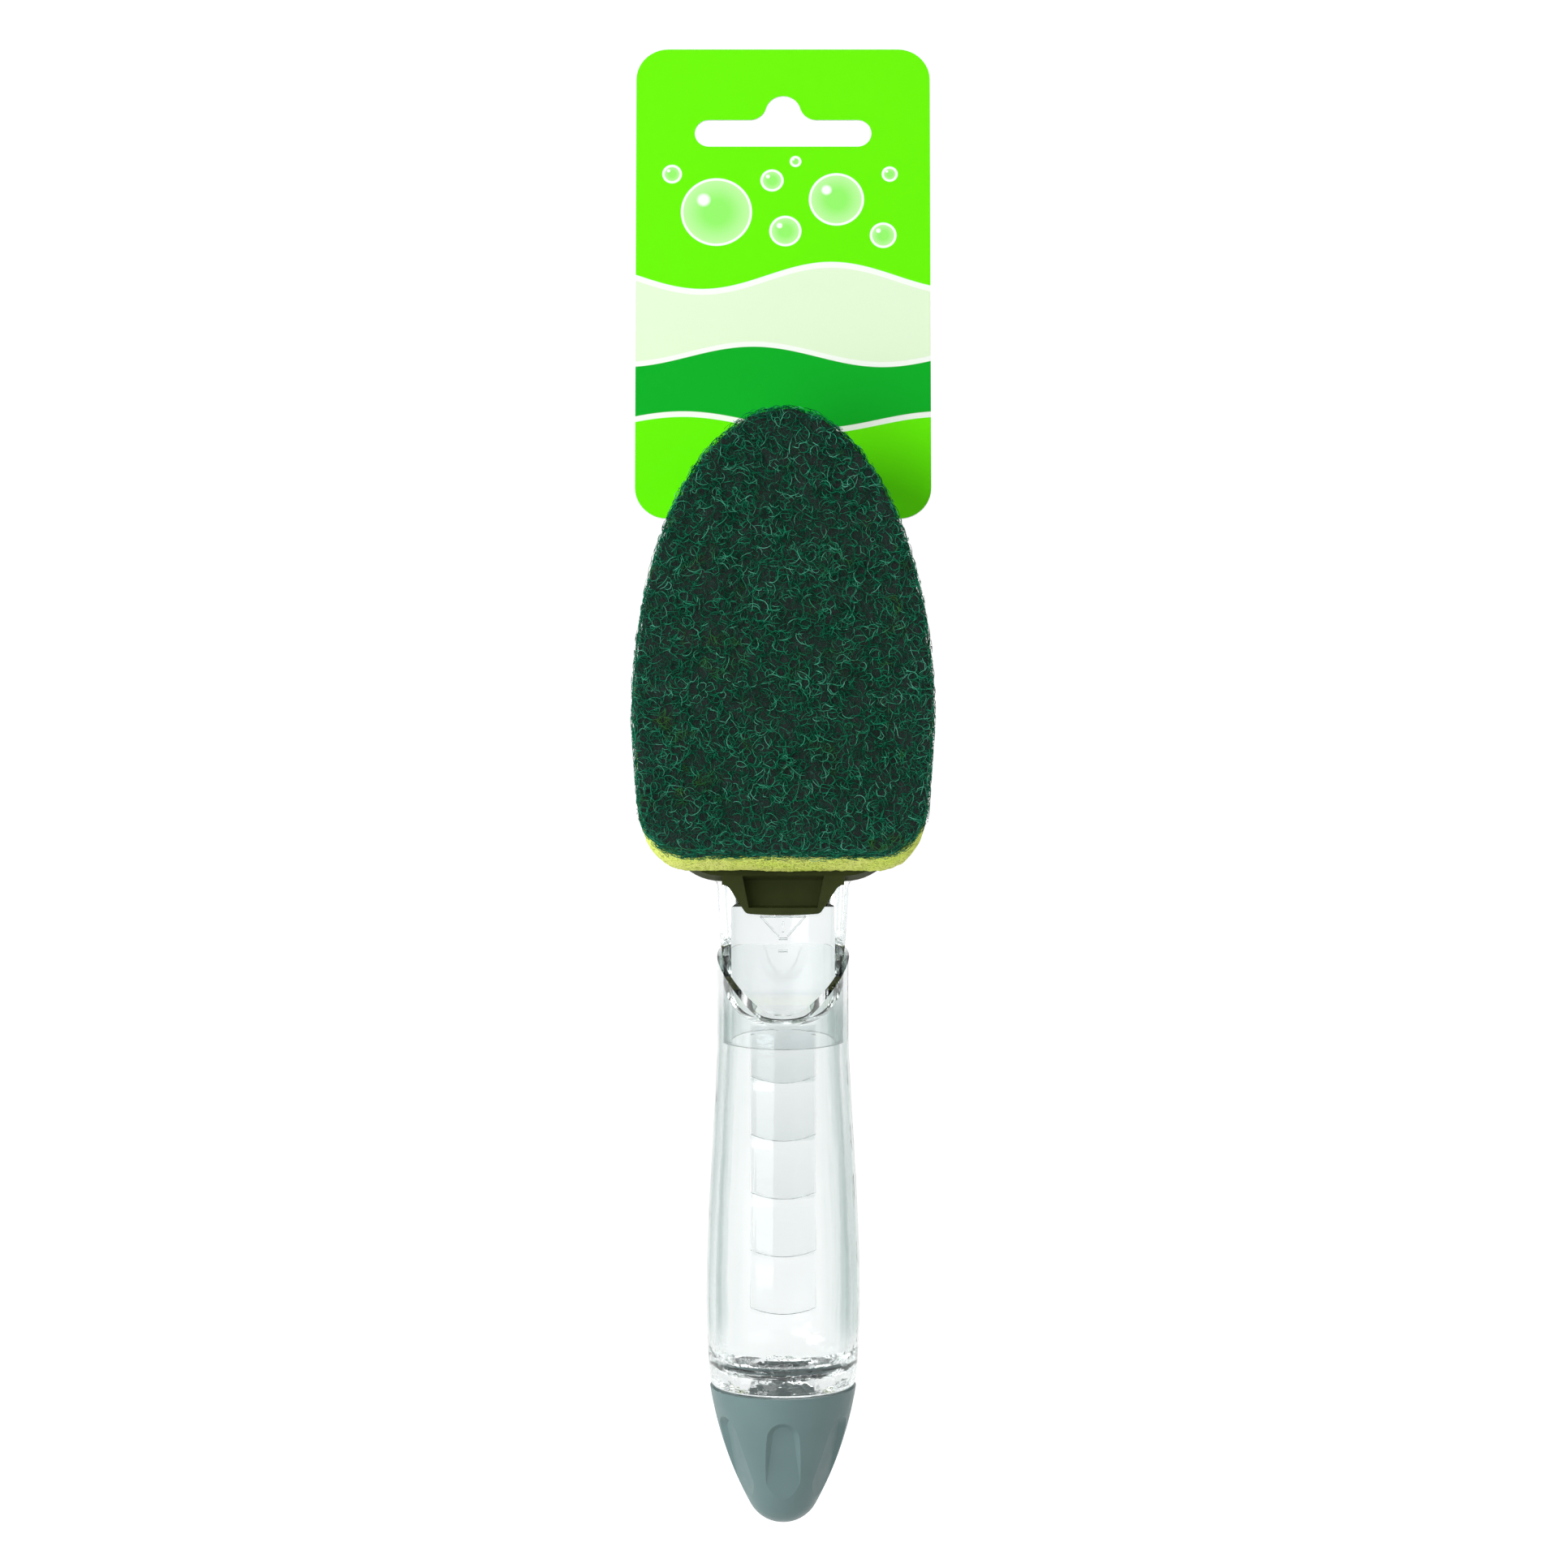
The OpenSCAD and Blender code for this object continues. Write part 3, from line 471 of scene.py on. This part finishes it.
def light_scene():
    """White surroundings, four soft lamps and a pale floor that keeps the wand's shadow."""
    scene = bpy.context.scene
    scene.view_settings.view_transform = "Standard"
    for kind in ("max_bounces", "transmission_bounces", "glossy_bounces"):
        setattr(scene.cycles, kind, INNER_BOUNCES)
    world = bpy.data.worlds.new("studio")
    scene.world = world
    world.use_nodes = True
    sky = Shader.of_tree(world.node_tree)
    background = sky.tree.nodes["Background"]
    background.inputs["Color"].default_value = (1, 1, 1, 1)
    sky.feed(background.inputs["Strength"], by_ray(sky, WORLD_LIGHT, 1.0))
    soft_light("key", (-1450, -850, 650), 900, 20.5)
    soft_light("low", (-700, -1100, -100), 800, 7.2)
    soft_light("fill", (1000, -1100, 300), 1000, 4.2)
    soft_light("rear", (300, 1300, 700), 900, 4.7)

    bpy.ops.mesh.primitive_circle_add(vertices=96, radius=FLOOR_R, fill_type="NGON")
    floor = bpy.context.object
    floor.name = "floor"
    floor.location = (0, 0, (RIM_Z - FLOOR_DROP) * MM)
    s = Shader("pale_floor", Base_Color=(0.92, 0.92, 0.92, 1), Roughness=0.9)
    s.bsdf.inputs["Emission Color"].default_value = (1, 1, 1, 1)
    run = s.node("ShaderNodeVectorMath", s.place(), operation="LENGTH").outputs["Value"]
    s.set("Emission Strength", by_ray(s, 0.0, s.span(run, *GLOW_EDGES, *GLOW_LEVELS)))
    floor.data.materials.append(s.material)


# Head outlines


def egg_outline(count, inset=0.0):
    """Even points (x, s) round the pad's outline, drawn in by inset, as part.scad's egg_half."""
    half_w, toe, r = PAD_HALF_W - inset, PAD_L - inset, PAD_CORNER_R - inset
    cx = half_w - HEEL_IN - r
    a = np.radians(np.linspace(-90, -4, 40))
    e = np.linspace(0, math.pi / 2, 160)
    right = np.concatenate([
        [[0, inset]],
        np.stack([cx + r * np.cos(a), inset + r + r * np.sin(a)], 1),
        np.stack([half_w * np.cos(e), PAD_WIDE_S + (toe - PAD_WIDE_S) * np.sin(e)], 1),
    ])
    loop = np.concatenate([right, (right * [-1, 1])[-2::-1]])
    run = np.concatenate([[0], np.cumsum(np.linalg.norm(np.diff(loop, axis=0), axis=1))])
    at = np.linspace(0, run[-1], count, endpoint=False)
    return np.stack([np.interp(at, run, loop[:, i]) for i in (0, 1)], 1)


def outward(loop):
    """Unit normals of a closed anticlockwise loop."""
    step = np.roll(loop, -1, 0) - np.roll(loop, 1, 0)
    n = np.stack([step[:, 1], -step[:, 0]], 1)
    return n / np.linalg.norm(n, axis=1, keepdims=True)


def new_piece(name, verts, faces, material, body):
    """Smooth-shaded mesh object that moves with a body."""
    mesh = bpy.data.meshes.new(name)
    mesh.from_pydata([tuple(v) for v in verts], [], faces)
    mesh.materials.append(material)
    mesh.polygons.foreach_set("use_smooth", [True] * len(mesh.polygons))
    obj = bpy.data.objects.new(name, mesh)
    bpy.context.scene.collection.objects.link(obj)
    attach(obj, body)
    return obj


def lofted(name, rings, material, body):
    """Closed skin over rings of (x, s, t) points, with a middle point at each end."""
    count = len(rings[0])
    points = np.concatenate([rings[0].mean(0)[None], *rings, rings[-1].mean(0)[None]])
    faces = []
    last = len(points) - 1
    for j in range(count):
        k = (j + 1) % count
        faces.append((0, 1 + k, 1 + j))
        top = 1 + (len(rings) - 1) * count
        faces.append((last, top + j, top + k))
        for i in range(len(rings) - 1):
            a, b = 1 + i * count, 1 + (i + 1) * count
            faces.append((a + j, a + k, b + k, b + j))
    verts = on_head(points[:, 0], points[:, 1], points[:, 2])
    return new_piece(name, verts, faces, material, body)


def ring_at(loop, t):
    """Loop of (x, s) points as (x, s, t) points, all at one t."""
    return np.column_stack([loop, np.full(len(loop), t)])


def shrink(loop, k):
    """Loop scaled by k towards the middle of the head."""
    middle = np.array([0, HEAD_MIDDLE_S])
    return middle + (loop - middle) * k


def roughen(obj, size, depth, octaves=3):
    """Moves each vertex along its normal by noise of that size and depth, in millimetres."""
    mesh = obj.data
    at = np.empty(len(mesh.vertices) * 3)
    mesh.vertices.foreach_get("co", at)
    normal = np.empty_like(at)
    mesh.vertices.foreach_get("normal", normal)
    at, normal = at.reshape(-1, 3), normal.reshape(-1, 3)
    lumps = [noise.fractal(Vector(p), 1.0, 2.0, octaves) for p in at / (size * MM)]
    moved = at + normal * np.array(lumps)[:, None] * depth * MM
    mesh.vertices.foreach_set("co", moved.ravel())
    mesh.update()


# Scouring pad: a dark core with loose curled fibres over its face and sides


def strands(name, centres, radius, material, body):
    """Three-sided tubes along centre lines of shape (count, points, 3), in metres."""
    count, points, _ = centres.shape
    # Points held at an edge can fall together, so each is set a hair apart from the last
    hair = 1e-7
    centres = centres + np.arange(points)[None, :, None] * hair * HEAD_UP
    along = np.gradient(centres, axis=1)
    along /= np.linalg.norm(along, axis=2, keepdims=True)
    side = np.cross(along, HEAD_FRONT + np.array([0.31, 0.12, 0.05]))
    side /= np.linalg.norm(side, axis=2, keepdims=True)
    over = np.cross(side, along)
    taper = np.interp(np.arange(points), [0, 1, points - 2, points - 1], [0.3, 1, 1, 0.3])
    thin = radius[:, None, None] * taper[None, :, None]
    rings = [centres + thin * (math.cos(a) * side + math.sin(a) * over) for a in np.radians([0, 120, 240])]
    verts = np.stack(rings, 2).reshape(-1, 3)
    start = np.arange(count)[:, None, None] * points * 3 + np.arange(points - 1)[None, :, None] * 3
    j = np.arange(3)[None, None, :]
    k = (j + 1) % 3
    quads = np.stack([start + j, start + k, start + 3 + k, start + 3 + j], -1).reshape(-1, 4)
    first = np.arange(count)[:, None] * points * 3
    ends = np.concatenate([first + [2, 1, 0], first + (points - 1) * 3 + [0, 1, 2]])
    faces = quads.tolist() + ends.tolist()
    return new_piece(name, verts, faces, material, body)


def curl(count, points, length, radius):
    """Random arcs in a plane: offsets (count, points, 2) from each strand's middle."""
    reach = rng.uniform(*length, count)[:, None]
    bend = rng.choice([-1, 1], count)[:, None] / rng.uniform(*radius, count)[:, None]
    bend = bend * (1 + 0.5 * np.sin(np.linspace(0, 3, points)[None] + rng.uniform(0, 6, count)[:, None]))
    step = reach / (points - 1)
    heading = rng.uniform(0, 2 * math.pi, count)[:, None] + np.cumsum(bend * step, 1)
    path = np.cumsum(np.stack([np.cos(heading), np.sin(heading)], -1) * step[..., None], 1)
    return path - path.mean(1, keepdims=True)


def round_pores(s, x, pores, pore_r):
    """Fibre points moved out of the pores they cross, on to the pores' edges."""
    flat = np.stack([x.ravel(), s.ravel()], 1)
    at_once = 8000
    for block in range(0, len(flat), at_once):
        p = flat[block:block + at_once]
        off = p[:, None] - pores[None]
        far = np.linalg.norm(off, axis=2)
        nearest = np.argmin(far - pore_r, axis=1)
        row = np.arange(len(p))
        d, r, away = far[row, nearest], pore_r[nearest], off[row, nearest]
        inside = d < r
        p[inside] = pores[nearest[inside]] + away[inside] / d[inside, None] * r[inside, None]
    return flat[:, 1].reshape(s.shape), flat[:, 0].reshape(x.shape)


def pad_core(loop, out):
    """Dark body of the pad, between the sponge and the fibres."""
    foot = SPONGE_FRONT + 0.12
    side = [(0.9, foot), (0.5, 19.0)]
    side += [(0.4, t) for t in np.arange(19.6, 24.9, 0.6)]
    side += [(0.6, 25.2), (1.2, 25.6)]
    rings = [ring_at(shrink(loop - out * 0.9, k), foot) for k in (0.3, 0.65)]
    rings += [ring_at(loop - out * inset, t) for inset, t in side]
    rings += [ring_at(shrink(loop - out * 1.2, k), 25.65) for k in np.linspace(0.985, 0.02, 58)]
    body = lofted("scouring_pad_core", rings, scouring_core(), "refill")
    roughen(body, 5.0, 0.3, 2)
    roughen(body, 1.3, 0.3, 2)
    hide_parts("scouring_pad")


def face_fibres(loop, arch, fibre):
    """Loose strands over the pad's face, which wind round its open pores."""
    width = loop[:len(loop) // 2]

    def half_width(s):
        return np.interp(s, width[12:, 1], width[12:, 0])

    pores = np.stack([rng.uniform(-PAD_HALF_W, PAD_HALF_W, PORES), rng.uniform(0, PAD_L, PORES)], 1)
    pore_r = rng.uniform(*PORE_R, PORES)
    tries = FACE_STRANDS * 3
    s = rng.uniform(0.3, PAD_L - 0.3, tries)
    x = rng.uniform(-PAD_HALF_W, PAD_HALF_W, tries)
    keep = np.abs(x) < half_width(s)
    x, s = x[keep][:FACE_STRANDS], s[keep][:FACE_STRANDS]
    count = len(x)
    path = curl(count, STRAND_POINTS, (1.8, 4.6), CURL_R)
    lift = rng.normal(0.1, 0.28, count)[:, None] + arch * rng.uniform(0.0, 0.75, count)[:, None]
    ps, px = round_pores(s[:, None] + path[..., 1], x[:, None] + path[..., 0], pores, pore_r)
    ps = np.clip(ps, 0.1, PAD_L - 0.05)
    limit = np.maximum(half_width(ps), 0.2) - 0.1
    over = np.maximum(np.abs(px) - limit, 0)
    px = np.clip(px, -limit, limit)
    pt = PAD_FRONT - 0.45 + np.clip(lift, -0.6, 0.8) - np.minimum(over, 3)
    radius = rng.uniform(*STRAND_R, count) * MM
    return strands("scouring_pad_face_fibres", on_head(px, ps, pt), radius, fibre, "refill")


def side_fibres(loop, out, arch, fibre):
    """Loose strands round the pad's sides."""
    count = SIDE_STRANDS
    lap = np.linalg.norm(loop[1] - loop[0])
    path = curl(count, STRAND_POINTS, (1.6, 4.0), CURL_R)
    u = (rng.uniform(0, len(loop), count)[:, None] + path[..., 0] / lap) % len(loop)
    i = u.astype(int) % len(loop)
    lowest = SPONGE_FRONT + 0.2
    t = rng.uniform(lowest, PAD_FRONT, count)[:, None] + path[..., 1]
    t = np.clip(t, lowest + 0.05, PAD_FRONT + 0.1)
    h = rng.normal(-0.12, 0.22, count)[:, None] + arch * rng.uniform(-0.1, 0.6, count)[:, None]
    at = loop[i] + out[i] * np.clip(h, -0.6, 0.6)[..., None]
    radius = rng.uniform(*STRAND_R, count) * MM
    return strands("scouring_pad_side_fibres", on_head(at[..., 0], at[..., 1], t), radius, fibre, "refill")


def scouring_pad():
    """Pad's core with loose strands over its face and sides."""
    loop = egg_outline(420)
    out = outward(loop)
    pad_core(loop, out)
    fibre = scouring_fibre()
    arch = np.sin(np.linspace(0.1, math.pi - 0.1, STRAND_POINTS))[None]
    for piece in (face_fibres(loop, arch, fibre), side_fibres(loop, out, arch, fibre)):
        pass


def sponge():
    """Padded sponge whose sides draw in towards the base."""
    foam = sponge_foam()
    loop = egg_outline(460)
    out = outward(loop)
    heights = [TRAY_H, 5.2, 9.2, 14, SPONGE_FRONT]
    insets = [1.7, 1.0, 0.5, 0.25, 0.2]
    foot = TRAY_H + 0.05
    rings = [ring_at(shrink(loop - out * 1.7, k), foot) for k in (0.3, 0.6, 0.8, 0.92)]
    for t in np.arange(foot, SPONGE_FRONT, 0.55):
        rings.append(ring_at(loop - out * float(np.interp(t, heights, insets)), t))
    rings += [ring_at(shrink(loop - out * 0.4, k), SPONGE_FRONT - 0.05) for k in (0.97, 0.8, 0.4)]
    body = lofted("sponge_body", rings, foam, "refill")
    roughen(body, 12.0, 0.25, 2)
    roughen(body, 1.1, 0.22, 2)
    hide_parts("sponge")


def swept(name, centres, radius, material, body, sides=8):
    """Round tube along open centre points, in metres."""
    centres = np.asarray(centres, float)
    along = np.gradient(centres, axis=0)
    along /= np.linalg.norm(along, axis=1, keepdims=True)
    side = np.cross(along, (0.02, 0.03, 1.0))
    side /= np.linalg.norm(side, axis=1, keepdims=True)
    over = np.cross(side, along)
    verts, faces = [], []
    for i in range(len(centres)):
        r = radius[i]
        for a in np.linspace(0, 2 * math.pi, sides, endpoint=False):
            verts.append(centres[i] + r * (math.cos(a) * side[i] + math.sin(a) * over[i]))
    for i in range(len(centres) - 1):
        for j in range(sides):
            k = (j + 1) % sides
            faces.append((i * sides + j, i * sides + k, (i + 1) * sides + k, (i + 1) * sides + j))
    faces.append(tuple(range(sides - 1, -1, -1)))
    faces.append(tuple(len(verts) - sides + j for j in range(sides)))
    return new_piece(name, verts, faces, material, body)


def filler_thread(material):
    """Raised right-hand screw thread round the filler neck: a rounded ridge with tapered ends."""
    turns, pitch, root = 1.9, 4.0, 9.75
    lowest = -8.9
    ridge_r = 0.8
    fade_angle = 0.6
    a = np.linspace(0, turns * 2 * math.pi, int(turns * 48))
    z = lowest + pitch * a / (2 * math.pi)
    centres = np.stack([root * np.cos(a), root * np.sin(a) + AXIS_Y, z + RIM_Z], 1) * MM
    fade = np.clip(np.minimum(a, a[-1] - a) / fade_angle, 0.15, 1)
    ridge = swept("filler_thread", centres, ridge_r * fade * MM, material, "handle")


def neck_arrow(material):
    """Raised outline of a small arrow on the neck's front face, under the thumb tab."""
    down = np.array([0, -math.sin(FACE_LEAN), -math.cos(FACE_LEAN)])
    out = np.array([0, -math.cos(FACE_LEAN), math.sin(FACE_LEAN)])
    top = np.array([0, AXIS_Y + 0.883, HEAD_Z])
    sunk, raised = 0.1, 0.22
    bm = bmesh.new()
    # Strokes as (across, down) at both ends, from the face's top, and a width
    for x0, d0, x1, d1, w in (
        (-4.9, 8.0, -1.1, 12.2, 0.4), (4.9, 8.0, 1.1, 12.2, 0.4), (-4.9, 8.0, 4.9, 8.0, 0.35),
        (0, 9.3, 0, 11.2, 0.5), (-0.8, 12.9, 0.8, 12.9, 0.5), (-0.8, 15.6, 0.8, 15.6, 0.5),
    ):
        a = top + down * d0 + np.array([x0, 0, 0])
        b = top + down * d1 + np.array([x1, 0, 0])
        run = (b - a) / np.linalg.norm(b - a)
        wide = np.cross(run, out) * w / 2
        ends = []
        for p, q in ((a, -run), (b, run)):
            p = p + q * w / 2
            low = [bm.verts.new((p + wide * k - out * sunk) * MM) for k in (-1, 1)]
            high = [bm.verts.new((p + wide * k * 0.5 - q * w / 4 + out * raised) * MM) for k in (1, -1)]
            ends.append(low + high)
        first, second = ends
        bm.faces.new(first)
        bm.faces.new(second[::-1])
        for i in range(4):
            j = (i + 1) % 4
            bm.faces.new((first[j], first[i], second[i], second[j]))
    bmesh.ops.recalc_face_normals(bm, faces=bm.faces)
    mesh = bpy.data.meshes.new("neck_arrow")
    bm.to_mesh(mesh)
    bm.free()
    mesh.materials.append(material)
    arrow = bpy.data.objects.new("neck_arrow", mesh)
    bpy.context.scene.collection.objects.link(arrow)
    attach(arrow, "handle")


def paint(node, material):
    """Gives a CAD node its finish."""
    mesh = nodes[node].data
    mesh.materials.clear()
    mesh.materials.append(material)


aim_camera()
light_scene()
clear = clear_plastic()
slate = slate_plastic()
silicone = white_silicone()
for node, finish in (
    ("reservoir", clear), ("neck_paddle", clear), ("cap", slate), ("valve_retainer", slate),
    ("slit_valve", silicone), ("cap_gasket", silicone),
    ("refill_base", olive_plastic()), ("hang_card", printed_card()),
):
    paint(node, finish)
sponge()
scouring_pad()
filler_thread(clear)
neck_arrow(clear)
